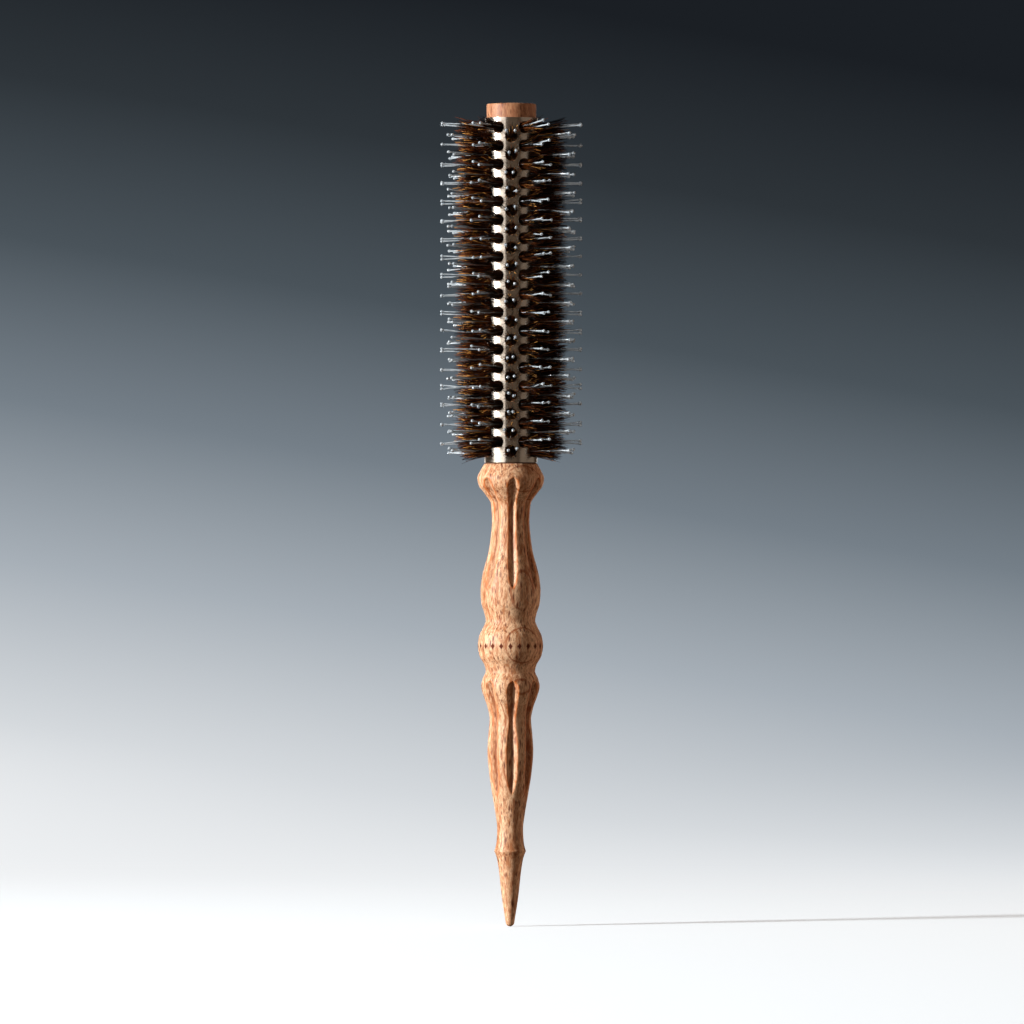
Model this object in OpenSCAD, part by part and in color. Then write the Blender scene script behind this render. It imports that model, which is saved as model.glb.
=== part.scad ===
// Round barrel brush, in millimetres: a turned and fluted beech handle, a beech core inside a
// pierced metal sleeve, a wooden end cap, and twelve rows of staple-set bristle tufts.
// Each tuft has a wire anchor in the bottom of its hole and two ball-tipped quills.
// The origin is the centre of the grip ball, on the axis. +Z runs up to the end cap, and the
// first row of tufts faces -Y.

/* [Barrel] */
// Length of the metal sleeve
sleeve_len = 106.3; // [60:0.1:120]
// Outer radius of the metal sleeve
sleeve_r = 8.15; // [8.1:0.05:8.6]
// Wall thickness of the metal sleeve
sleeve_wall = 0.5; // [0.3:0.05:0.5]
// Height that the end cap stands above the sleeve
cap_h = 4.4; // [3:0.1:8]
// Radius of the end cap's rounded rim
cap_round = 0.4; // [0.2:0.05:0.8]

/* [Tufts] */
// Distance between neighbouring tufts of one row
tuft_pitch = 5.7; // [5.4:0.1:8]
// Height of the lowest tuft above the handle's shoulder
first_tuft = 3.45; // [3:0.05:6]
// Radius of a tuft's hole in the sleeve
punch_r = 1.9; // [1.8:0.05:2]
// Radius of a tuft's hole in the core
drill_r = 1.7; // [1.6:0.05:1.7]
// Distance from the brush axis to the bottom of a tuft's hole
drill_floor = 4.3; // [4.2:0.05:4.6]
// Distance from the brush axis to the ends of the bristles
bristle_reach = 16.5; // [13:0.1:18]
// Angle that the last tuft of a row leans towards the end cap
end_lean = 2; // [0:0.5:5]

/* [Quills] */
// Distance from the brush axis to the end of a quill's ball
quill_reach = 21.9; // [19:0.1:26]
// Diameter of a quill
quill_d = 0.48; // [0.4:0.02:0.5]
// Diameter of the ball on a quill's tip
ball_d = 1; // [0.8:0.05:1.1]
// Most that a quill's tip stands to the side of its tuft
splay = 1.9; // [1:0.1:2]
// Most that a quill's tip stands above or below its tuft
scatter = 0.8; // [0:0.1:1]

/* [Handle] */
// Radius of the grip ball
grip_ball_r = 10.1; // [9.5:0.1:11]
// Radius of the slim neck under the barrel
neck_r = 5.8; // [5.5:0.1:6.4]
// Length of the handle below the centre of the grip ball
tail_len = 86.7; // [84:0.1:90]
// Number of flutes around each half of the handle
flutes = 7; // [4:1:7]
// Angle between the two faces of a flute
flute_angle = 100; // [90:1:110]

/* [Hidden] */
columns = 12;
function row_names(stem) = [for (i = [1:columns]) str(stem, "_row_", i < 10 ? "0" : "", i)];
BRISTLES = row_names("bristle");
QUILLS = row_names("quill");
ANCHORS = row_names("anchor");

// Heights of the joints between the turned pieces
shoulder_z = 56.6;
sleeve_top_z = shoulder_z + sleeve_len;
cap_top_z = sleeve_top_z + cap_h;

// Core and its two plug joints: a tenon into the handle, and a bore for the cap's spigot
fit_gap = 0.05;
core_r = sleeve_r - sleeve_wall - fit_gap;
tenon_r = 3.45;
tenon_len = 12;
spigot_r = 3.3;
spigot_len = 8;

// Tufts
tufts = floor((sleeve_len - 2 * first_tuft - tuft_pitch / 2 + 0.4) / tuft_pitch) + 1;
front = -90;
tuft_root_r = 1.1;
tuft_end_r = 2.25;
tuft_gap = 0.05;

// Anchors and the quills that stand on either side of them
anchor_t = 0.3;
anchor_w = 2.8;
anchor_h = 1.2;
quill_side = 0.6;
quill_root = drill_floor + 0.1;
quill_len = quill_reach - ball_d / 2 - quill_root;

// Radius of the tail's rounded end
tip_r = 1.35;

// Outline of the handle as [height, radius], from the shoulder down to the tail.
// Every swelling, waist and ring has a point at its widest or narrowest place.
outline = [
    [shoulder_z, 7.95], [54.4, 9.2], [51.7, 10.3], [49.3, 9.8], [47, 8.1], [43.7, 6.15],
    [38.6, neck_r], [33.8, 6.15], [29, 6.85], [24.2, 8.15], [20.9, 8.9], [17, 9.28],
    [13.1, 9], [9.9, 8.05], [7.8, 7.65], [5.9, 8.3], [3, 9.65], [0, grip_ball_r],
    [-3, 9.6], [-6.2, 7.95], [-7.8, 7.62], [-10.3, 8.6], [-12.5, 9.05], [-15.7, 8.25],
    [-18.9, 7.12], [-22.8, 6.4], [-27, 6.77], [-32.5, 7.11], [-38.9, 6.63], [-45.4, 5.63],
    [-51.8, 4.56], [-56.6, 4], [-60.5, 4.2], [-62.7, 4.65], [-63.4, 4.87], [-64.1, 4.6],
    [-65.7, 4.06], [-69.8, 3.39], [-77.2, 2.6], [tip_r - tail_len, tip_r]
];

// Flutes as [height, width], from the rounded head down to the point. The width is negative
// where the cutter has left the wood, and no height is the same as one in the outline.
upper_flute = [
    [52.4, -1], [51.9, 0.9], [50.8, 2.9], [48.9, 3.75], [46.3, 3], [42.8, 2.5], [35, 2.5],
    [30, 2.8], [25.2, 3.1], [21.8, 2.8], [19.6, 2.2], [17.6, 0.5], [16.8, -0.5]
];
lower_flute = [
    [-10, -1], [-10.8, 0.9], [-12, 3.1], [-14, 3.9], [-17, 3.4], [-20, 2.7], [-23.6, 2],
    [-28, 3.1], [-32, 3.6], [-39.4, 3.4], [-43, 2.3], [-46, 0.4], [-46.8, -0.4]
];
flute_turn = 5;
cutter_reach = 13;
band_steps = 2;

// Smooth curve through a list of [height, value] points that never overshoots a point
function chord(p, i) = (p[i + 1][1] - p[i][1]) / (p[i + 1][0] - p[i][0]);
function inner_slope(a, b) = a * b <= 0 ? 0 : 2 * a * b / (a + b);
function slope(p, i) =
    i == 0 ? chord(p, 0)
    : i == len(p) - 1 ? chord(p, i - 1)
    : inner_slope(chord(p, i - 1), chord(p, i));
function blend(p, i, t) =
    let (h = p[i + 1][0] - p[i][0])
    p[i][1] * (1 + 2 * t) * (1 - t) * (1 - t) + p[i + 1][1] * t * t * (3 - 2 * t)
    + h * t * (1 - t) * (slope(p, i) * (1 - t) - slope(p, i + 1) * t);
function span_at(p, z, i = 0) = i == len(p) - 2 || z >= p[i + 1][0] ? i : span_at(p, z, i + 1);
function value_at(p, z) =
    let (i = span_at(p, z))
    blend(p, i, (z - p[i][0]) / (p[i + 1][0] - p[i][0]));

// Turned surface of the handle, as [radius, height] points
turned = [
    for (i = [0:len(outline) - 2], s = [0:band_steps - 1])
        let (t = s / band_steps)
        [blend(outline, i, t), outline[i][0] + t * (outline[i + 1][0] - outline[i][0])]
];
tip_arc = [for (a = [0:15:90]) [tip_r * cos(a), tip_r - tail_len - tip_r * sin(a)]];

module handle() {
    color("burlywood")
    difference() {
        rotate_extrude($fn = 96)
            polygon(concat([[0, shoulder_z]], turned, tip_arc));
        for (i = [0:flutes - 1])
            rotate(front + flute_turn + i * 360 / flutes) {
                flute_cutter(upper_flute);
                flute_cutter(lower_flute);
            }
        translate([0, 0, shoulder_z - tenon_len])
            cylinder(r = tenon_r + fit_gap, h = tenon_len + 1, $fn = 48);
    }
}

// V-shaped groove that follows the handle: where two slanted extrusions meet
module flute_cutter(flute) {
    intersection() {
        rotate(90 - flute_angle / 2) flute_face(flute);
        rotate(flute_angle / 2 - 90) flute_face(flute);
    }
}

// One face of a groove, extruded along the face, with the groove's bottom as its edge
module flute_face(flute) {
    half = flute_angle / 2;
    bottom = [
        for (p = flute) [(value_at(outline, p[0]) - p[1] / 2 / tan(half)) * sin(half), p[0]]
    ];
    rotate([90, 0, 0])
        linear_extrude(height = 3 * cutter_reach, center = true)
            polygon(concat(
                bottom,
                [[cutter_reach, flute[len(flute) - 1][0]], [cutter_reach, flute[0][0]]]
            ));
}

// Angle of a row around the brush, and height of a tuft on it. Every second row is staggered.
function row_angle(row) = front + row * 360 / columns;
function tuft_z(row, i) = shoulder_z + first_tuft + (i + (row % 2) / 2) * tuft_pitch;

// Places its children at a tuft: X around the brush, Y up it and Z outwards from the axis
module at_tuft(row, i) {
    translate([0, 0, tuft_z(row, i)])
        rotate([90, 0, row_angle(row) + 90])
            children();
}

// The same hole at every tuft, from one distance from the axis outwards
module tuft_holes(r, from) {
    for (row = [0:columns - 1], i = [0:tufts - 1])
        at_tuft(row, i)
            translate([0, 0, from])
                cylinder(r = r, h = sleeve_r + 1 - from, $fn = 32);
}

module barrel_core() {
    color("peru")
    difference() {
        rotate_extrude($fn = 96)
            polygon([
                [0, shoulder_z - tenon_len + 0.5],
                [tenon_r, shoulder_z - tenon_len + 0.5],
                [tenon_r, shoulder_z],
                [core_r, shoulder_z],
                [core_r, sleeve_top_z],
                [spigot_r + fit_gap, sleeve_top_z],
                [spigot_r + fit_gap, sleeve_top_z - spigot_len - 0.5],
                [0, sleeve_top_z - spigot_len - 0.5]
            ]);
        tuft_holes(drill_r, drill_floor);
    }
}

module barrel_sleeve() {
    color("silver")
    difference() {
        translate([0, 0, shoulder_z])
            cylinder(r = sleeve_r, h = sleeve_len, $fn = 96);
        translate([0, 0, shoulder_z - 1])
            cylinder(r = sleeve_r - sleeve_wall, h = sleeve_len + 2, $fn = 96);
        tuft_holes(punch_r, sleeve_r - sleeve_wall - 1);
    }
}

module end_cap() {
    cap_r = core_r + fit_gap;
    rim = [for (a = [0:15:90]) [cap_r - cap_round * (1 - cos(a)), cap_top_z - cap_round * (1 - sin(a))]];
    color("sienna")
    rotate_extrude($fn = 96)
        polygon(concat(
            [[0, sleeve_top_z - spigot_len], [spigot_r, sleeve_top_z - spigot_len]],
            [[spigot_r, sleeve_top_z], [cap_r, sleeve_top_z]],
            rim,
            [[0, cap_top_z]]
        ));
}

// Lean of a tuft towards the end cap: the last one the most, the one before it half as much
function lean(i) = end_lean * max(0, 1 - (tufts - 1 - i) / 2);

// Run of a quill from its root to the centre of its ball, along X, Y and Z of its tuft.
// side is -1 or 1, and the splay is never so small that a pair of balls would touch.
function quill_run(row, i, side) =
    let (
        chance = rands(0, 1, 2, 100 * row + 2 * i + side),
        least = 0.6 * ball_d,
        x = side * (least + chance[0] * (splay - least) - quill_side),
        y = scatter * (2 * chance[1] - 1) + 1.5 * quill_len * tan(lean(i))
    )
    [x, y, sqrt(quill_len * quill_len - x * x - y * y)];

// Places its children at the root of a quill, with Z along it
module at_quill(row, i, side) {
    run = quill_run(row, i, side);
    translate([side * quill_side, 0, quill_root])
        rotate([0, acos(run[2] / quill_len), atan2(run[1], run[0])])
            children();
}

module bristle_row(row) {
    color("saddlebrown")
    for (i = [0:tufts - 1])
        at_tuft(row, i)
            difference() {
                bristle_cone(lean(i));
                translate([0, 0, drill_floor + (anchor_h + 0.1) / 2 - 1])
                    cube([anchor_t + 0.1, anchor_w + 0.4, anchor_h + 2.1], center = true);
                for (side = [-1, 1])
                    at_quill(row, i, side)
                        translate([0, 0, -1])
                            rotate(90)
                                cylinder(d = quill_d + 0.08, h = quill_len + 1, $fn = 24);
            }
}

// Solid that holds a tuft's bristles: it fills out from the hole to the bristle ends
module bristle_cone(angle) {
    translate([0, 0, drill_floor + tuft_gap])
        rotate([-angle, 0, 0])
            cylinder(
                r1 = tuft_root_r,
                r2 = tuft_end_r,
                h = bristle_reach - drill_floor - tuft_gap,
                $fn = 48
            );
}

module quill_row(row) {
    color("gainsboro")
    for (i = [0:tufts - 1], side = [-1, 1])
        at_tuft(row, i)
            at_quill(row, i, side)
                union() {
                    cylinder(d = quill_d, h = quill_len, $fn = 24);
                    translate([0, 0, quill_len])
                        sphere(d = ball_d, $fn = 24);
                }
}

module anchor_row(row) {
    color("goldenrod")
    for (i = [0:tufts - 1])
        at_tuft(row, i)
            translate([0, 0, drill_floor + anchor_h / 2])
                cube([anchor_t, anchor_w, anchor_h], center = true);
}

handle();
barrel_core();
barrel_sleeve();
end_cap();
for (row = [0:columns - 1]) {
    bristle_row(row);
    quill_row(row);
    anchor_row(row);
}
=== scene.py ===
"""Round barrel brush: the looks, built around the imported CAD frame.

Lengths are in metres unless their name ends in _MM. The origin is the centre of the grip ball, and
the camera stands on the -Y side. Angles around the brush are counted from +X towards +Y. Rows are
counted from the one that faces the camera, and tufts from the handle upwards.
"""

import math

import bpy
import numpy as np
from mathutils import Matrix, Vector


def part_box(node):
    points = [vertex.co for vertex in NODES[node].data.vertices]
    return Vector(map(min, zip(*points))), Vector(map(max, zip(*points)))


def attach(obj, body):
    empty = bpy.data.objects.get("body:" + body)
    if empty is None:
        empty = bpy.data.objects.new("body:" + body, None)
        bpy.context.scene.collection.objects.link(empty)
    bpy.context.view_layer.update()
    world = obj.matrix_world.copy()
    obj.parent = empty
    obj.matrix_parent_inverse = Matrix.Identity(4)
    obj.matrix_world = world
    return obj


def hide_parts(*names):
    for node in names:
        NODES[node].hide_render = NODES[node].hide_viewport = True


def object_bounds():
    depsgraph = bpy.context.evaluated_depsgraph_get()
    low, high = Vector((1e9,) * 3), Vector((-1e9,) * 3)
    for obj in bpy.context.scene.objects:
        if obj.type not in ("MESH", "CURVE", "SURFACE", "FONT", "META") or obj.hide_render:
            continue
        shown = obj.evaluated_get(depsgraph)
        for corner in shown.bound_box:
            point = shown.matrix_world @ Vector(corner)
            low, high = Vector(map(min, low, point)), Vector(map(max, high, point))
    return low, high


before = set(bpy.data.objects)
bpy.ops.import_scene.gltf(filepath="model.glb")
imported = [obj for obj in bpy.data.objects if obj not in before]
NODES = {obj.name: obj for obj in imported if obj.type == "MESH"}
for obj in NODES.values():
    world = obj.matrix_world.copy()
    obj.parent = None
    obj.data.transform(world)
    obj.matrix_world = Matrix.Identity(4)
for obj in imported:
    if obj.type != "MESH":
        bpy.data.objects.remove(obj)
cad_lo, cad_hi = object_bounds()

MM = 0.001
TURN = 2 * math.pi
FRONT = -math.pi / 2
ROWS = 12
TUFTS = 18
FLOOR_Z = cad_lo.z


def row_node(stem, row):
    return f"{stem}_row_{row + 1:02d}"


def add_object(name, data):
    made = bpy.data.objects.new(name, data)
    bpy.context.scene.collection.objects.link(made)
    return made


# ---------------------------------------------------------------- camera

CAMERA_FAR = 2.3
VIEW_WIDTH = 0.3163
VIEW_X, VIEW_Z = 0.0004, 0.0413
CAMERA_ROLL = math.radians(0.1)
SENSOR_MM = 36


def make_camera():
    data = bpy.data.cameras.new("camera")
    data.sensor_width = SENSOR_MM
    data.lens = SENSOR_MM * CAMERA_FAR / VIEW_WIDTH
    data.clip_start, data.clip_end = 0.1, 50
    camera = add_object("camera", data)
    camera.location = (VIEW_X, -CAMERA_FAR, VIEW_Z)
    camera.rotation_euler = (math.pi / 2, 0, 0)
    camera.rotation_euler.rotate_axis("Z", CAMERA_ROLL)
    bpy.context.scene.camera = camera


# ---------------------------------------------------------------- mesh helpers


def mesh_object(name, verts, faces):
    """An object with a smooth-shaded mesh of these points and faces."""
    data = bpy.data.meshes.new(name)
    data.vertices.add(len(verts))
    data.vertices.foreach_set("co", np.asarray(verts, np.float32).ravel())
    corners = np.concatenate([np.asarray(face, np.int32) for face in faces])
    data.loops.add(len(corners))
    data.loops.foreach_set("vertex_index", corners)
    sizes = np.array([len(face) for face in faces], np.int32)
    starts = np.cumsum(sizes) - sizes
    data.polygons.add(len(faces))
    data.polygons.foreach_set("loop_start", starts.astype(np.int32))
    data.polygons.foreach_set("use_smooth", np.full(len(faces), True))
    data.update(calc_edges=True)
    data.validate()
    return add_object(name, data)


def store_colour(piece, name, values):
    layer = piece.data.color_attributes.new(name, "FLOAT_COLOR", "POINT")
    layer.data.foreach_set("color", np.asarray(values, np.float32).ravel())


def wall_faces(rings, around):
    """Quads between neighbouring rings of a tube's points."""
    faces = []
    for here in range(0, (rings - 1) * around, around):
        for j in range(around):
            k = (j + 1) % around
            faces.append((here + j, here + k, here + around + k, here + around + j))
    return faces


def tube_faces(rings, around):
    """Faces of a tube that closes at two end points, which follow the points of its rings."""
    faces = wall_faces(rings, around)
    start, end = rings * around, rings * around + 1
    last = (rings - 1) * around
    for j in range(around):
        k = (j + 1) % around
        faces.append((start, k, j))
        faces.append((end, last + j, last + k))
    return faces


def repeated(faces, copies, points):
    """The faces of several copies of a shape that has this many points."""
    return [tuple(i * points + v for v in face) for i in range(copies) for face in faces]


# ---------------------------------------------------------------- handle

# The turned outline as [height, radius] and the carved flutes as [height, width], from the top
# down, the same design as the CAD handle's. A flute's width is negative where there is none.
OUTLINE_MM = [
    (56.6, 7.95), (54.4, 9.2), (51.7, 10.3), (49.3, 9.8), (47, 8.1), (43.7, 6.15),
    (38.6, 5.8), (33.8, 6.15), (29, 6.85), (24.2, 8.15), (20.9, 8.9), (17, 9.28),
    (13.1, 9), (9.9, 8.05), (7.8, 7.65), (5.9, 8.3), (3, 9.65), (0, 10.1),
    (-3, 9.6), (-6.2, 7.95), (-7.8, 7.62), (-10.3, 8.6), (-12.5, 9.05), (-15.7, 8.25),
    (-18.9, 7.12), (-22.8, 6.4), (-27, 6.77), (-32.5, 7.11), (-38.9, 6.63), (-45.4, 5.63),
    (-51.8, 4.56), (-56.6, 4), (-60.5, 4.2), (-62.7, 4.65), (-63.4, 4.87), (-64.1, 4.6),
    (-65.7, 4.06), (-69.8, 3.39), (-77.2, 2.6), (-85.35, 1.35),
]
UPPER_FLUTE_MM = [
    (52.4, -1), (51.9, 0.9), (50.8, 2.9), (48.9, 3.75), (46.3, 3), (42.8, 2.5), (35, 2.5),
    (30, 2.8), (25.2, 3.1), (21.8, 2.8), (19.6, 2.2), (17.6, 0.5), (16.8, -0.5),
]
LOWER_FLUTE_MM = [
    (-10, -1), (-10.8, 0.9), (-12, 3.1), (-14, 3.9), (-17, 3.4), (-20, 2.7), (-23.6, 2),
    (-28, 3.1), (-32, 3.6), (-39.4, 3.4), (-43, 2.3), (-46, 0.4), (-46.8, -0.4),
]
SHOULDER_Z_MM = OUTLINE_MM[0][0]
TAIL_Z_MM, TAIL_R_MM = OUTLINE_MM[-1]
TAIL_RING_Z_MM = -63.4
GRIP_R_MM = dict(OUTLINE_MM)[0]
CHAMFER_MM = 0.3
SOCKET_R_MM, SOCKET_DEPTH_MM = 3.5, 12

FLUTES = 7
FLUTE_ANGLES = FRONT + math.radians(5) + np.arange(FLUTES) * TURN / FLUTES
FLUTE_SLOPE = math.tan(math.radians(50))
# Sizes over which a flute's bottom and rims are rounded, and the depth below which it is left out
FLUTE_BOTTOM_MM = 0.3
FLUTE_RIM_MM = 0.09
LEAST_DEPTH_MM = 0.004
# Reach of the glow painted along a rim, and the depth at which a flute's bottom takes its full painted
# shade
RIM_GLOW_MM = 0.3
SHADE_DEPTH_MM = 0.2

# Steps between the mesh's rings down the outside: fine ones this near to a sharp change of shape
RING_STEP_MM, FINE_STEP_MM, FINE_REACH_MM = 0.34, 0.14, 1.3
# Places of the mesh's columns: across a flute from rim to rim, and across the land to the next one.
# They are spaced as for a flute of at least LEAST_GRID_MM, also where there is none.
FLUTE_COLUMNS = (-1, -0.9, -0.75, -0.55, -0.35, -0.18, -0.07, 0, 0.07, 0.18, 0.35, 0.55, 0.75, 0.9)
LAND_COLUMNS = (0, 0.035, 0.1, 0.2, 0.32, 0.44, 0.56, 0.68, 0.8, 0.9, 0.965)
LEAST_GRID_MM = 0.5
SOCKET_FLOOR_RING_MM = 0.35 * SOCKET_R_MM
TAIL_ANGLES = np.radians(np.arange(9, 86, 9.5))


def smooth_curve(points, z):
    """The smooth curve through [height, value] points that never overshoots one, at heights z."""
    places, values = np.array(points, float)[::-1].T
    gap = np.diff(places)
    chord = np.diff(values) / gap
    below, above = chord[:-1], chord[1:]
    same = below * above > 0
    inner = np.where(same, 2 * below * above / np.where(same, below + above, 1), 0)
    slope = np.concatenate([[chord[0]], inner, [chord[-1]]])
    i = np.clip(np.searchsorted(places, z, "right") - 1, 0, len(gap) - 1)
    t = (z - places[i]) / gap[i]
    value = values[i] * (1 + 2 * t) * (1 - t) ** 2 + values[i + 1] * t * t * (3 - 2 * t)
    return value + gap[i] * t * (1 - t) * (slope[i] * (1 - t) - slope[i + 1] * t)


def flute_width(z):
    """Width of the flutes at heights z, negative where there are none."""
    width = np.full(len(z), -1.0)
    for flute in (UPPER_FLUTE_MM, LOWER_FLUTE_MM):
        on = (z <= flute[0][0]) & (z >= flute[-1][0])
        width[on] = smooth_curve(flute, z[on])
    return width


def handle_heights():
    """Heights of the mesh's rings down the outside, closer at the flutes' ends and the tail's ring."""
    sharp = [flute[i][0] for flute in (UPPER_FLUTE_MM, LOWER_FLUTE_MM) for i in (1, -2)]
    sharp.append(TAIL_RING_Z_MM)
    z = [SHOULDER_Z_MM]
    while z[-1] > TAIL_Z_MM:
        near = min(abs(z[-1] - place) for place in sharp)
        z.append(z[-1] - (FINE_STEP_MM if near < FINE_REACH_MM else RING_STEP_MM))
    z[-1] = TAIL_Z_MM
    return np.array(z)


def handle_columns(radius, width):
    """Angles of the mesh's columns in each ring."""
    half = np.maximum(width, LEAST_GRID_MM) / 2 / radius
    land = TURN / FLUTES - 2 * half
    columns = []
    for centre in FLUTE_ANGLES:
        columns += [centre + place * half for place in FLUTE_COLUMNS]
        columns += [centre + half + place * land for place in LAND_COLUMNS]
    return np.array(columns).T


def flute_cut(angle, radius, width):
    """Depth carved away at each column of each ring, and how strongly a rim's painted glow shows there.
    """
    off = np.abs((angle[:, :, None] - FLUTE_ANGLES + math.pi) % TURN - math.pi).min(-1)
    across = np.sqrt((off * radius[:, None]) ** 2 + FLUTE_BOTTOM_MM**2)
    inside = width[:, None] / 2 - across
    depth = inside / FLUTE_SLOPE
    depth = (depth + np.sqrt(depth**2 + FLUTE_RIM_MM**2)) / 2
    rim = np.exp(-((inside / RIM_GLOW_MM) ** 2)) * np.clip(width[:, None], 0, 1)
    return np.where(depth < LEAST_DEPTH_MM, 0, depth), rim


def socket_rings(shoulder_r):
    """Radii and heights of the socket for the core's tenon, from its floor out over its mouth."""
    floor_z = SHOULDER_Z_MM - SOCKET_DEPTH_MM
    rings = [(SOCKET_FLOOR_RING_MM, floor_z), (SOCKET_R_MM, floor_z),
             (SOCKET_R_MM, SHOULDER_Z_MM - CHAMFER_MM), (SOCKET_R_MM + CHAMFER_MM, SHOULDER_Z_MM),
             (shoulder_r - CHAMFER_MM, SHOULDER_Z_MM)]
    return np.array(rings).T


def make_handle():
    """The handle: its socket, the turned and fluted outside, and the tail's rounded end."""
    z = handle_heights()
    radius = smooth_curve(OUTLINE_MM, z)
    width = flute_width(z)
    angle = handle_columns(radius, width)
    depth, rim = flute_cut(angle, radius, width)
    around = angle.shape[1]

    z[0] -= CHAMFER_MM
    socket_r, socket_z = socket_rings(radius[0])
    tail_r, tail_z = TAIL_R_MM * np.cos(TAIL_ANGLES), TAIL_Z_MM - TAIL_R_MM * np.sin(TAIL_ANGLES)
    rings_r = np.concatenate([np.repeat(socket_r[:, None], around, 1), radius[:, None] - depth,
                              np.repeat(tail_r[:, None], around, 1)])
    rings_z = np.concatenate([socket_z, z, tail_z])
    angle = np.pad(angle, ((len(socket_z), len(tail_z)), (0, 0)), "edge")
    rings = np.stack([rings_r * np.cos(angle), rings_r * np.sin(angle),
                      np.repeat(rings_z[:, None], around, 1)], -1)
    ends = [(0, 0, socket_z[0]), (0, 0, TAIL_Z_MM - TAIL_R_MM)]
    verts = np.concatenate([rings.reshape(-1, 3), ends]) * MM
    # the rings run from the top down, so the faces are turned to look outwards
    faces = [face[::-1] for face in tube_faces(len(rings_z), around)]
    handle = mesh_object("carved_handle", verts, faces)

    # Painted light on the flutes: red is the orange glow painted along their rims, green the depth that
    # sets the shade painted in their bottoms
    painted_flute_light = np.zeros((len(verts), 4))
    outside = slice(len(socket_z) * around, (len(socket_z) + len(z)) * around)
    painted_flute_light[outside, 0] = rim.ravel()
    painted_flute_light[outside, 1] = (depth / np.maximum(depth.max(1, keepdims=True), SHADE_DEPTH_MM)).ravel()
    store_colour(handle, "flute", painted_flute_light)
    return handle


# ---------------------------------------------------------------- bristles

HAIRS = 88
HAIR_SEED = 7
HAIR_RINGS = 5
HAIR_SIDES = 3
HAIR_ROOT = 5.6 * MM
BRISTLE_REACH = cad_hi.x - 5.2 * MM
# A hair's radius at its root varies from THINNEST to THINNEST + VARIETY of HAIR_R, and its tip is
# thinner by the share TAPER
HAIR_R = 0.11 * MM
THINNEST, VARIETY, TAPER = 0.7, 0.5, 0.55
# A tuft's radius at its root and at its tips, and how the hairs curve out from one to the other
TUFT_R = 1.3 * MM
TUFT_SPREAD = 2.7 * MM
SPREAD_POWER, FAN_POWER = 0.8, 1.8
# Scatter of the hairs' reach, tips and bends, and the most that a short hair falls back
REACH_SCATTER, TIP_SCATTER, HAIR_BEND = 0.6 * MM, 0.42 * MM, 0.3 * MM
SHORT_BY = 1.6 * MM
TOP_LEAN = math.radians(4)
FOOT_LEAN = -0.4 * TOP_LEAN
ANCHOR_HALF = 1.4 * MM


def tuft_heights(row):
    """Heights of a row's tufts, from the anchors in their holes."""
    lo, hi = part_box(row_node("anchor", row))
    return np.linspace(lo.z + ANCHOR_HALF, hi.z - ANCHOR_HALF, TUFTS)


def tuft_axes(row):
    """Directions outwards from a row, around the brush and up it."""
    angle = FRONT + row * TURN / ROWS
    out = np.array([math.cos(angle), math.sin(angle), 0])
    return out, np.array([-out[1], out[0], 0]), np.array([0, 0, 1.0])


def tuft_lean(i):
    """Upward lean of a tuft: the two at the top lean up, and the lowest leans a little down."""
    if i == 0:
        return FOOT_LEAN
    return TOP_LEAN * max(0.0, 1 - (TUFTS - 1 - i) / 2)


def hair_faces():
    """Faces of one hair, a thin strand with flat ends."""
    first = tuple(range(HAIR_SIDES))
    last = tuple(range((HAIR_RINGS - 1) * HAIR_SIDES, HAIR_RINGS * HAIR_SIDES))
    return wall_faces(HAIR_RINGS, HAIR_SIDES) + [first[::-1], last]


def hair_points(t, z, lean, axes, rng):
    """Points of one hair's rings. It fans out from its tuft, bends a little and narrows."""
    out, side, up = axes
    spot = np.sqrt(rng.random())
    around = rng.random() * TURN
    outwards = np.array([math.cos(around), math.sin(around)])
    root = TUFT_R * spot * outwards
    reach = BRISTLE_REACH + rng.normal(0, REACH_SCATTER) - SHORT_BY * rng.random() ** 3
    tip = TUFT_SPREAD * spot**SPREAD_POWER * outwards + rng.normal(0, TIP_SCATTER, 2)
    tip[1] += math.tan(lean) * (reach - HAIR_ROOT)
    bend = rng.normal(0, HAIR_BEND, 2)
    p_side, p_up = root[:, None] + (tip - root)[:, None] * t**FAN_POWER + bend[:, None] * 2 * t * (1 - t)
    p_out = HAIR_ROOT + (reach - HAIR_ROOT) * t
    centre = p_out[:, None] * out + p_side[:, None] * side + (z + p_up)[:, None] * up
    radius = HAIR_R * (THINNEST + VARIETY * rng.random()) * (1 - TAPER * t**2)
    corner = rng.random() * TURN + np.arange(HAIR_SIDES) * TURN / HAIR_SIDES
    ring = np.cos(corner)[:, None] * side + np.sin(corner)[:, None] * up
    return (centre[:, None] + radius[:, None, None] * ring).reshape(-1, 3)


def make_bristles(row, rng):
    """One row of tufts as single hairs, with each hair's tone and the place along it as a colour."""
    axes = tuft_axes(row)
    t = np.linspace(0, 1, HAIR_RINGS)
    verts, tones = [], []
    for i, z in enumerate(tuft_heights(row)):
        for _ in range(HAIRS):
            verts.append(hair_points(t, z, tuft_lean(i), axes, rng))
            tones.append(rng.random())
    points = HAIR_RINGS * HAIR_SIDES
    faces = repeated(hair_faces(), len(verts), points)
    made = mesh_object(f"bristle_tufts_{row + 1:02d}", np.concatenate(verts), faces)
    values = np.ones((len(verts) * points, 4))
    values[:, 0] = np.repeat(tones, points)
    values[:, 1] = np.tile(np.repeat(t, HAIR_SIDES), len(verts))
    store_colour(made, "hair", values)
    return made


# ---------------------------------------------------------------- quills

QUILL_SEED = 11
QUILL_R = 0.24 * MM
QUILL_SIDES = 10
QUILL_SHAFT_RINGS = 9
QUILL_BEND = 0.3 * MM
QUILL_ROOT = 4.4 * MM
QUILL_SIDE = 0.6 * MM
BALL_R = 0.5 * MM
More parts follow.
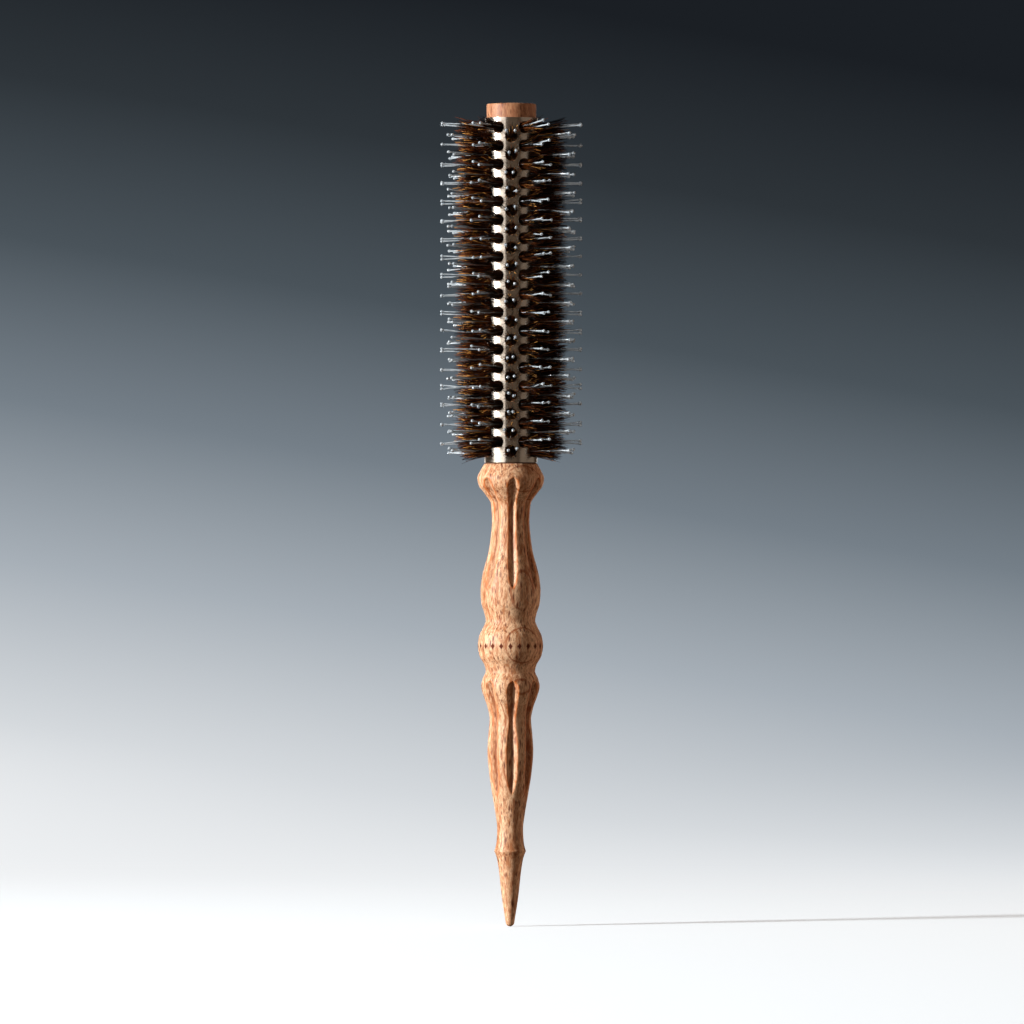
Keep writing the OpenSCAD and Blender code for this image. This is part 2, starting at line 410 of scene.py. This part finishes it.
# Where the shaft ends before the ball's centre, then the neck's [distance before that centre,
# radius], and the angles of the ball's rings
SHAFT_END = 1.3 * MM
QUILL_NECK = [(0.72 * MM, 0.25 * MM), (0.55 * MM, 0.29 * MM), (0.42 * MM, 0.36 * MM)]
BALL_ANGLES = np.radians([-38, -15, 8, 30, 50, 68, 82])
# Points of the CAD's quills this near to the farthest tip belong to their balls
BALL_ZONE = 1.2 * BALL_R


def ball_centres(row):
    """Centres of a row's quill balls, from the CAD's quills, as {(tuft, side): [out, around, up]}."""
    node = NODES[row_node("quill", row)].data
    places = np.empty(3 * len(node.vertices))
    node.vertices.foreach_get("co", places)
    local = places.reshape(-1, 3) @ np.array(tuft_axes(row)).T
    balls = local[local[:, 0] > local[:, 0].max() - BALL_ZONE]
    tuft = np.abs(balls[:, 2:] - tuft_heights(row)).argmin(1)
    found = {}
    for i in range(TUFTS):
        for side in (-1, 1):
            ball = balls[(tuft == i) & (np.sign(balls[:, 1]) == side)]
            middle = (ball.min(0) + ball.max(0)) / 2
            found[i, side] = np.array([ball[:, 0].max() - BALL_R, middle[1], middle[2]])
    return found


def quill_rings(length):
    """Places of a quill's rings, from 0 at its root to 1 at its ball's centre, and their radii."""
    shaft = np.linspace(0, 1, QUILL_SHAFT_RINGS) * (1 - SHAFT_END / length)
    before, neck_r = np.array(QUILL_NECK).T
    places = [shaft, 1 - before / length, 1 + BALL_R * np.sin(BALL_ANGLES) / length]
    radii = [np.full(QUILL_SHAFT_RINGS, QUILL_R), neck_r, BALL_R * np.cos(BALL_ANGLES)]
    return np.concatenate(places), np.concatenate(radii)


def quill_points(root, ball, rng):
    """Points of one quill's rings and its two end points. It bends a little between root and ball."""
    run = ball - root
    length = np.linalg.norm(run)
    t, radius = quill_rings(length)
    bend = rng.normal(0, QUILL_BEND, 2)
    centre = root + t[:, None] * run
    centre[:, 1:] += bend * np.sin(math.pi * np.minimum(t, 1))[:, None] ** 2
    z_axis = run / length
    x_axis = np.cross(z_axis, (0, 0, 1))
    x_axis /= np.linalg.norm(x_axis)
    y_axis = np.cross(z_axis, x_axis)
    corner = np.arange(QUILL_SIDES) * TURN / QUILL_SIDES
    ring = np.cos(corner)[:, None] * x_axis + np.sin(corner)[:, None] * y_axis
    tube = centre[:, None] + radius[:, None, None] * ring
    return np.concatenate([tube.reshape(-1, 3), [root, ball + BALL_R * z_axis]])


def make_quills(row, rng):
    """One row of quills, each a filament that runs through a neck into its ball."""
    heights = tuft_heights(row)
    verts = []
    for (i, side), ball in ball_centres(row).items():
        root = np.array([QUILL_ROOT, side * QUILL_SIDE, heights[i]])
        verts.append(quill_points(root, ball, rng))
    rings = QUILL_SHAFT_RINGS + len(QUILL_NECK) + len(BALL_ANGLES)
    faces = repeated(tube_faces(rings, QUILL_SIDES), len(verts), len(verts[0]))
    places = np.concatenate(verts) @ np.array(tuft_axes(row))
    return mesh_object(f"quill_filaments_{row + 1:02d}", places, faces)


# ---------------------------------------------------------------- material helpers


class Nodes:
    """Short forms for building a material's node tree."""

    def __init__(self, name):
        self.material = bpy.data.materials.new(name)
        self.material.use_nodes = True
        self.tree = self.material.node_tree
        self.tree.nodes.clear()
        self.shader = self.add("ShaderNodeBsdfPrincipled")
        output = self.add("ShaderNodeOutputMaterial")
        self.link(self.shader.outputs[0], output.inputs["Surface"])

    def add(self, kind, **settings):
        node = self.tree.nodes.new(kind)
        for key, value in settings.items():
            setattr(node, key, value)
        return node

    def link(self, source, target):
        self.tree.links.new(source, target)

    def put(self, value, socket):
        """Sets a socket to a number or colour, or links it to another node's output."""
        if isinstance(value, bpy.types.NodeSocket):
            self.link(value, socket)
        else:
            socket.default_value = value

    def set(self, **sockets):
        """Puts values on the shader's sockets, named with _ for a space."""
        for name, value in sockets.items():
            self.put(value, self.shader.inputs[name.replace("_", " ")])

    def place(self, scale=(1, 1, 1), offset=(0, 0, 0)):
        """Place on the object in millimetres, stretched by scale and then moved by offset."""
        source = self.add("ShaderNodeTexCoord").outputs["Object"]
        mapping = self.add("ShaderNodeMapping")
        mapping.inputs["Scale"].default_value = [s / MM for s in scale]
        mapping.inputs["Location"].default_value = offset
        self.link(source, mapping.inputs["Vector"])
        return mapping.outputs[0]

    def noise(self, vector, detail=2.0, rough=0.5, distortion=0.0):
        node = self.add("ShaderNodeTexNoise")
        self.link(vector, node.inputs["Vector"])
        node.inputs["Scale"].default_value = 1
        node.inputs["Detail"].default_value = detail
        node.inputs["Roughness"].default_value = rough
        node.inputs["Distortion"].default_value = distortion
        return node.outputs["Fac"]

    def math(self, operation, a, b=0.0):
        node = self.add("ShaderNodeMath", operation=operation)
        for value, socket in zip((a, b), node.inputs):
            self.put(value, socket)
        return node.outputs[0]

    def band(self, value, low, high, to_low=0.0, to_high=1.0):
        """Smoothly from to_low at low to to_high at high."""
        node = self.add("ShaderNodeMapRange", interpolation_type="SMOOTHSTEP")
        for v, socket in zip((value, low, high, to_low, to_high), node.inputs):
            self.put(v, socket)
        return node.outputs[0]

    def mix(self, amount, a, b):
        """Colour a, or colour b by this amount."""
        node = self.add("ShaderNodeMix", data_type="RGBA")
        self.put(amount, node.inputs["Factor"])
        self.put(a, node.inputs[6])
        self.put(b, node.inputs[7])
        return node.outputs[2]

    def split(self, colour):
        """A colour's red, green and blue."""
        node = self.add("ShaderNodeSeparateColor")
        self.link(colour, node.inputs[0])
        return node.outputs

    def xyz(self, vector):
        node = self.add("ShaderNodeSeparateXYZ")
        self.link(vector, node.inputs[0])
        return node.outputs

    def stored(self, layer):
        """Red, green and blue of a stored colour."""
        return self.split(self.add("ShaderNodeVertexColor", layer_name=layer).outputs[0])

    def bump(self, height, distance, strength):
        node = self.add("ShaderNodeBump")
        self.put(height, node.inputs["Height"])
        node.inputs["Distance"].default_value = distance
        node.inputs["Strength"].default_value = strength
        return node.outputs[0]

    def ramp(self, stops):
        """A colour ramp with these [place, colour] stops."""
        node = self.add("ShaderNodeValToRGB")
        elements = node.color_ramp.elements
        elements[0].position, elements[0].color = stops[0]
        elements[1].position, elements[1].color = stops[-1]
        for place, colour in stops[1:-1]:
            elements.new(place).color = colour
        return node


def srgb(r, g, b):
    """A colour given as it looks on a screen, from 0 to 255, as linear light."""
    shares = (r / 255, g / 255, b / 255)
    return tuple(s / 12.92 if s < 0.04045 else ((s + 0.055) / 1.055) ** 2.4 for s in shares) + (1,)


# ---------------------------------------------------------------- wood

# Light and middle tones of the wood, its dark fibres and its ray flecks
HANDLE_WOOD = (srgb(236, 192, 152), srgb(182, 118, 76), srgb(142, 77, 44), srgb(104, 45, 21))
CAP_WOOD = (srgb(190, 136, 98), srgb(160, 102, 70), srgb(118, 66, 40), srgb(104, 54, 32))
CORE_WOOD = (srgb(200, 150, 110), srgb(176, 124, 86), srgb(120, 80, 52), srgb(110, 66, 40))
# Colour of a growth ring's line, the direction across which the rings lie, and their places along it
RING_LINE = srgb(160, 82, 40)
RING_AZIMUTH = math.radians(25)
RING_SPACING_MM = 3.4
RING_SHIFT_MM = -0.4
RING_WOBBLE_MM = 0.9
# Ray flecks in three sizes: cells to a millimetre across and along the grain, the pattern's shift,
# the share of cells with no fleck, and strength
FLECKS = [
    (0.85, 0.2, (0, 0, 0), 0.3, 0.9),
    (1.3, 0.3, (5, 3, 8), 0.25, 0.8),
    (2.1, 0.5, (2, 7, 1), 0.25, 0.6),
]
# The burnt lozenges' number, half their width and height, and the angle that the row is turned by
MARKS = 22
MARK_WIDTH_MM, MARK_HEIGHT_MM = 0.78, 1.15
MARK_TURN = 4
BURNT = srgb(92, 34, 12)
# Shade painted along the shoulder's top edge, where it meets the sleeve, and how far down it reaches
SHOULDER_SHADE = srgb(84, 36, 18)
SHOULDER_SHADE_MM = 0.55
# Orange glow painted along the flutes' rims, and shade painted in their bottoms
RIM_GLOW = srgb(200, 106, 40)
FLUTE_BOTTOM_SHADE = srgb(124, 62, 28)


def beech(name, light, mid, dark, fleck, marks=False):
    """Turned beech: soft streaks along the grain, short dark ray flecks, fine pores and growth rings."""
    n = Nodes(name)
    broad = n.noise(n.place((0.35, 0.35, 0.035)), detail=3, rough=0.55)
    streak = n.noise(n.place((1.15, 1.15, 0.32)), detail=4, rough=0.65, distortion=0.3)
    fibre = n.noise(n.place((3.4, 3.4, 0.8)), detail=3, rough=0.6)
    tone = n.math("ADD", n.math("MULTIPLY", broad, 0.35), n.math("MULTIPLY", streak, 0.65))
    colour = n.mix(n.band(tone, 0.38, 0.6), mid, light)
    colour = n.mix(n.band(fibre, 0.34, 0.54, 0.5, 0.0), colour, dark)
    colour = n.mix(growth_rings(n), colour, RING_LINE)
    for across, along, shift, empty, amount in FLECKS:
        dash = ray_fleck(n, (across, across, along), shift, empty)
        colour = n.mix(n.math("MULTIPLY", dash, amount), colour, fleck)
    rough = n.band(fibre, 0.3, 0.7, 0.48, 0.6)
    if marks:
        burn = burnt_marks(n)
        colour = n.mix(burn, colour, BURNT)
        rough = n.math("ADD", rough, n.math("MULTIPLY", burn, 0.4))
        # Painted shade at the shoulder and in the flutes' bottoms, and a painted glow along their rims
        colour = painted_shade_and_glow(n, colour, streak)
    height = n.math("ADD", n.math("MULTIPLY", fibre, 0.5), n.math("MULTIPLY", streak, 0.5))
    n.set(Base_Color=colour, Roughness=rough, Normal=n.bump(height, 0.00012, 0.5))
    n.shader.inputs["Specular IOR Level"].default_value = 0.35
    n.shader.inputs["Sheen Weight"].default_value = 0.12
    n.shader.inputs["Sheen Roughness"].default_value = 0.4
    n.shader.inputs["Sheen Tint"].default_value = srgb(255, 232, 205)
    return n.material


def growth_rings(n):
    """Growth rings: planes across one direction, bent a little, so they are ovals on a swelling."""
    x, y, _ = n.xyz(n.place())
    wobble = n.noise(n.place((0.12, 0.12, 0.05), (3, 1, 7)))
    along = n.math("ADD", n.math("MULTIPLY", x, math.sin(RING_AZIMUTH)),
                   n.math("MULTIPLY", y, -math.cos(RING_AZIMUTH)))
    along = n.math("ADD", n.math("ADD", along, RING_SHIFT_MM), n.math("MULTIPLY", wobble, RING_WOBBLE_MM))
    phase = n.math("FRACT", n.math("DIVIDE", along, RING_SPACING_MM))
    line = n.band(n.math("ABSOLUTE", n.math("SUBTRACT", phase, 0.5)), 0.012, 0.06, 1.0, 0.0)
    patchy = n.band(n.noise(n.place((0.25, 0.25, 0.2), (9, 2, 4))), 0.36, 0.52, 0.15, 1.0)
    return n.math("MULTIPLY", n.math("MULTIPLY", line, patchy), 0.8)


def ray_fleck(n, scale, shift, empty):
    """Short dashes along the grain, in all but this share of the pattern's cells."""
    cells = n.add("ShaderNodeTexVoronoi")
    n.link(n.place(scale, shift), cells.inputs["Vector"])
    cells.inputs["Scale"].default_value = 1
    chance = n.split(cells.outputs["Color"])[0]
    dash = n.band(cells.outputs["Distance"], 0.12, 0.36, 1.0, 0.0)
    return n.math("MULTIPLY", dash, n.band(chance, empty, empty + 0.2))


def burnt_marks(n):
    """A plain row of small burnt lozenges around the grip ball."""
    x, y, z = n.xyz(n.place())
    angle = n.math("ADD", n.math("ARCTAN2", y, x), MARK_TURN)
    step = n.math("FRACT", n.math("MULTIPLY", angle, MARKS / TURN))
    across = n.math("MULTIPLY", n.math("SUBTRACT", step, 0.5), TURN * GRIP_R_MM / MARKS)
    lozenge = n.math("ADD", n.math("DIVIDE", n.math("ABSOLUTE", across), MARK_WIDTH_MM),
                     n.math("DIVIDE", n.math("ABSOLUTE", z), MARK_HEIGHT_MM))
    return n.band(lozenge, 0.65, 1.1, 1.0, 0.0)


def painted_shade_and_glow(n, colour, streak):
    """The handle's colour with painted shade at its shoulder's edge and flute bottoms, and painted glow
    on the rims.
    """
    height = n.xyz(n.place())[2]
    # Painted shade at the shoulder's edge, where the shoulder meets the sleeve
    edge = n.band(height, SHOULDER_Z_MM - SHOULDER_SHADE_MM, SHOULDER_Z_MM - CHAMFER_MM, 0.0, 0.85)
    colour = n.mix(edge, colour, SHOULDER_SHADE)
    rim, depth, _ = n.stored("flute")
    # A painted glow along the flutes' rims, then painted shade in their bottoms
    colour = n.mix(n.math("MULTIPLY", rim, n.band(streak, 0.35, 0.6, 0.9, 0.5)), colour, RIM_GLOW)
    return n.mix(n.band(depth, 0.5, 1.0, 0.0, 0.42), colour, FLUTE_BOTTOM_SHADE)


# ---------------------------------------------------------------- metal, hair and nylon


def sleeve_metal():
    """Turned aluminium: fine rings around the barrel, with a slight variation in tone."""
    n = Nodes("sleeve_metal")
    rings = n.noise(n.place((0.05, 0.05, 9)), detail=3, rough=0.7)
    smear = n.noise(n.place((0.15, 0.15, 0.6)))
    colour = n.mix(n.band(smear, 0.3, 0.7), srgb(212, 198, 184), srgb(228, 218, 206))
    rough = n.band(rings, 0.3, 0.7, 0.16, 0.24)
    n.set(Base_Color=colour, Roughness=rough, Normal=n.bump(rings, 0.00003, 0.1))
    n.shader.inputs["Metallic"].default_value = 1.0
    return n.material


def bristle_hair():
    """Boar bristle: black at the root, orange brown towards the tip, each hair in its own tone, a few
    with painted glints.
    """
    n = Nodes("boar_bristle")
    tone, along, _ = n.stored("hair")
    body = n.mix(n.band(tone, 0.36, 0.86), srgb(7, 4, 3), srgb(108, 56, 24))
    tip = n.mix(n.band(tone, 0.56, 0.92), srgb(10, 5, 3), srgb(112, 54, 17))
    # The lightest few hairs get bright orange tips: painted glints
    tip = n.mix(n.band(tone, 0.92, 0.95), tip, srgb(232, 164, 84))
    patch = n.noise(n.place((0.22, 0.22, 0.3)))
    along = n.math("ADD", along, n.math("MULTIPLY", n.math("SUBTRACT", patch, 0.5), 0.5))
    colour = n.mix(n.band(along, 0.3, 0.9), body, tip)
    grain = n.noise(n.place((3, 3, 3)))
    n.set(Base_Color=colour, Roughness=n.band(grain, 0.3, 0.7, 0.36, 0.5))
    n.shader.inputs["Specular IOR Level"].default_value = 0.08
    return n.material


def quill_nylon():
    """Clear grey nylon, which takes part of its shade from what is behind it."""
    n = Nodes("quill_nylon")
    cloud = n.noise(n.place((0.8, 0.8, 0.8)))
    colour = n.mix(n.band(cloud, 0.3, 0.7), srgb(184, 194, 202), srgb(214, 221, 226))
    n.set(Base_Color=colour, Roughness=n.band(cloud, 0.3, 0.7, 0.16, 0.26))
    n.shader.inputs["Transmission Weight"].default_value = 0.45
    n.shader.inputs["IOR"].default_value = 1.53
    return n.material


def anchor_brass():
    """Drawn brass wire."""
    n = Nodes("anchor_wire")
    drawn = n.noise(n.place((5, 5, 0.6)))
    colour = n.mix(drawn, srgb(186, 150, 88), srgb(214, 180, 116))
    n.set(Base_Color=colour, Roughness=n.band(drawn, 0.3, 0.7, 0.25, 0.4))
    n.shader.inputs["Metallic"].default_value = 1.0
    return n.material


# ---------------------------------------------------------------- studio

# Shade of the sweep at heights in metres, as the camera sees them in line with the brush: painted light,
# falling off upwards
SWEEP = [
    (-0.085, (250, 250, 251)), (-0.075, (238, 240, 242)), (-0.05, (213, 217, 221)), (0, (167, 175, 183)),
    (0.05, (117, 127, 136)), (0.1, (74, 83, 90)), (0.15, (46, 52, 57)), (0.2, (27, 31, 36)),
]
# Each shade lies lower towards +X by this slope, which sets in between these heights: painted light
# falling off towards +X
SWEEP_TILT = 0.17
TILT_FROM, TILT_TO = -0.09, -0.03
# Between these distances behind the brush the floor turns from white, lit by the lamps and glowing
# by FLOOR_GLOW, into a black screen that only shines by itself
LAMPLIT_TO, SCREEN_FROM = 0.05, 0.4
FLOOR_WHITE = srgb(222, 230, 236)
FLOOR_GLOW = 0.47
BLACK = (0, 0, 0, 1)
STAGE_SIDE, STAGE_FRONT, BACKDROP_Y, BACKDROP_TOP = 6, -3, 4, 5
WORLD_COLOUR = (1.0, 0.74, 0.54, 1)
WORLD_STRENGTH = 0.06


def sweep_material():
    """A white floor that turns into a glowing screen further back, whose painted light falls off to
    almost black at the top.
    """
    n = Nodes("sweep")
    x, y, z = n.xyz(n.add("ShaderNodeTexCoord").outputs["Object"])
    near = n.math("DIVIDE", CAMERA_FAR, n.math("ADD", y, CAMERA_FAR))
    height = n.math("ADD", n.math("MULTIPLY", near, n.math("SUBTRACT", z, VIEW_Z)), VIEW_Z)
    tilt = n.band(height, TILT_FROM, TILT_TO, 0.0, SWEEP_TILT)
    height = n.math("ADD", height, n.math("MULTIPLY", tilt, n.math("MULTIPLY", near, x)))
    low, high = SWEEP[0][0], SWEEP[-1][0]
    ramp = n.ramp([((at - low) / (high - low), srgb(*shade)) for at, shade in SWEEP])
    n.link(n.math("DIVIDE", n.math("SUBTRACT", height, low), high - low), ramp.inputs[0])
    far = n.band(y, LAMPLIT_TO, SCREEN_FROM)
    glow = n.band(y, LAMPLIT_TO, SCREEN_FROM, FLOOR_GLOW, 1.0)
    n.set(Base_Color=n.mix(far, FLOOR_WHITE, BLACK), Roughness=0.8)
    n.set(Emission_Color=ramp.outputs[0], Emission_Strength=glow)
    n.shader.inputs["Specular IOR Level"].default_value = 0
    return n.material


def make_stage():
    """The floor and the backdrop, which give the brush no light and aren't mirrored in it."""
    material = sweep_material()
    left, right = -STAGE_SIDE, STAGE_SIDE
    floor = [(left, STAGE_FRONT, FLOOR_Z), (right, STAGE_FRONT, FLOOR_Z),
             (right, BACKDROP_Y, FLOOR_Z), (left, BACKDROP_Y, FLOOR_Z)]
    screen = [(left, BACKDROP_Y, FLOOR_Z), (right, BACKDROP_Y, FLOOR_Z),
              (right, BACKDROP_Y, BACKDROP_TOP), (left, BACKDROP_Y, BACKDROP_TOP)]
    for name, corners in (("floor", floor), ("backdrop", screen)):
        piece = mesh_object(name, corners, [(0, 1, 2, 3)])
        piece.data.materials.append(material)
        piece.visible_diffuse = False
        piece.visible_glossy = False


def make_world():
    world = bpy.data.worlds.new("world")
    bpy.context.scene.world = world
    world.use_nodes = True
    back = world.node_tree.nodes["Background"]
    back.inputs["Color"].default_value = WORLD_COLOUR
    back.inputs["Strength"].default_value = WORLD_STRENGTH


def make_lamp(name, azimuth, distance, height, size, power, colour, glossy=True):
    """A lamp that faces the brush's axis. Its azimuth is in degrees from the camera towards +X."""
    data = bpy.data.lights.new(name, "AREA")
    data.shape = "RECTANGLE"
    data.size, data.size_y = size
    data.energy, data.color = power, colour
    lamp = add_object(name, data)
    a = math.radians(azimuth)
    lamp.location = (distance * math.sin(a), -distance * math.cos(a), height)
    lamp.rotation_euler = (math.pi / 2, 0, a)
    lamp.visible_glossy = glossy


def make_lamps():
    """A small hard key lamp and a soft box on the left, warm light from the right, and a back light."""
    make_lamp("key", azimuth=-68, distance=2.2, height=0.55,
              size=(0.16, 0.16), power=100, colour=(0.98, 1.0, 1.0))
    make_lamp("softbox", azimuth=-54, distance=1.1, height=0.05,
              size=(1.15, 1.0), power=4.9, colour=(1.0, 0.97, 0.92))
    make_lamp("fill", azimuth=112, distance=1.2, height=-0.1,
              size=(1.2, 1.2), power=7.0, colour=(1.0, 0.64, 0.43), glossy=False)
    make_lamp("card", azimuth=82, distance=1.25, height=0.1,
              size=(2.2, 1.2), power=1.0, colour=(1.0, 0.84, 0.7))
    make_lamp("front", azimuth=5, distance=2.7, height=0.1,
              size=(2.0, 1.6), power=0.36, colour=(1.0, 0.76, 0.54))
    make_lamp("back", azimuth=187, distance=1.6, height=0.3,
              size=(1.6, 1.1), power=6.0, colour=(1.0, 0.96, 0.92))


def make_studio():
    bpy.context.scene.view_settings.view_transform = "Standard"
    make_stage()
    make_world()
    make_lamps()


# ---------------------------------------------------------------- the object


def dress(node, material):
    """Gives a CAD node its material."""
    piece = NODES[node]
    piece.data.materials.clear()
    piece.data.materials.append(material)


def finish_piece(piece, material, node):
    """Gives a new piece its material and lets it stand for a CAD node."""
    piece.data.materials.append(material)
    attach(piece, "root")
    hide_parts(node)


def make_object():
    wood = beech("handle_beech", *HANDLE_WOOD, marks=True)
    finish_piece(make_handle(), wood, "handle")
    dress("end_cap", beech("cap_beech", *CAP_WOOD))
    dress("barrel_core", beech("core_beech", *CORE_WOOD))
    dress("barrel_sleeve", sleeve_metal())
    hair, nylon, brass = bristle_hair(), quill_nylon(), anchor_brass()
    hair_rng = np.random.default_rng(HAIR_SEED)
    quill_rng = np.random.default_rng(QUILL_SEED)
    for row in range(ROWS):
        finish_piece(make_bristles(row, hair_rng), hair, row_node("bristle", row))
        finish_piece(make_quills(row, quill_rng), nylon, row_node("quill", row))
        dress(row_node("anchor", row), brass)


make_camera()
make_object()
make_studio()
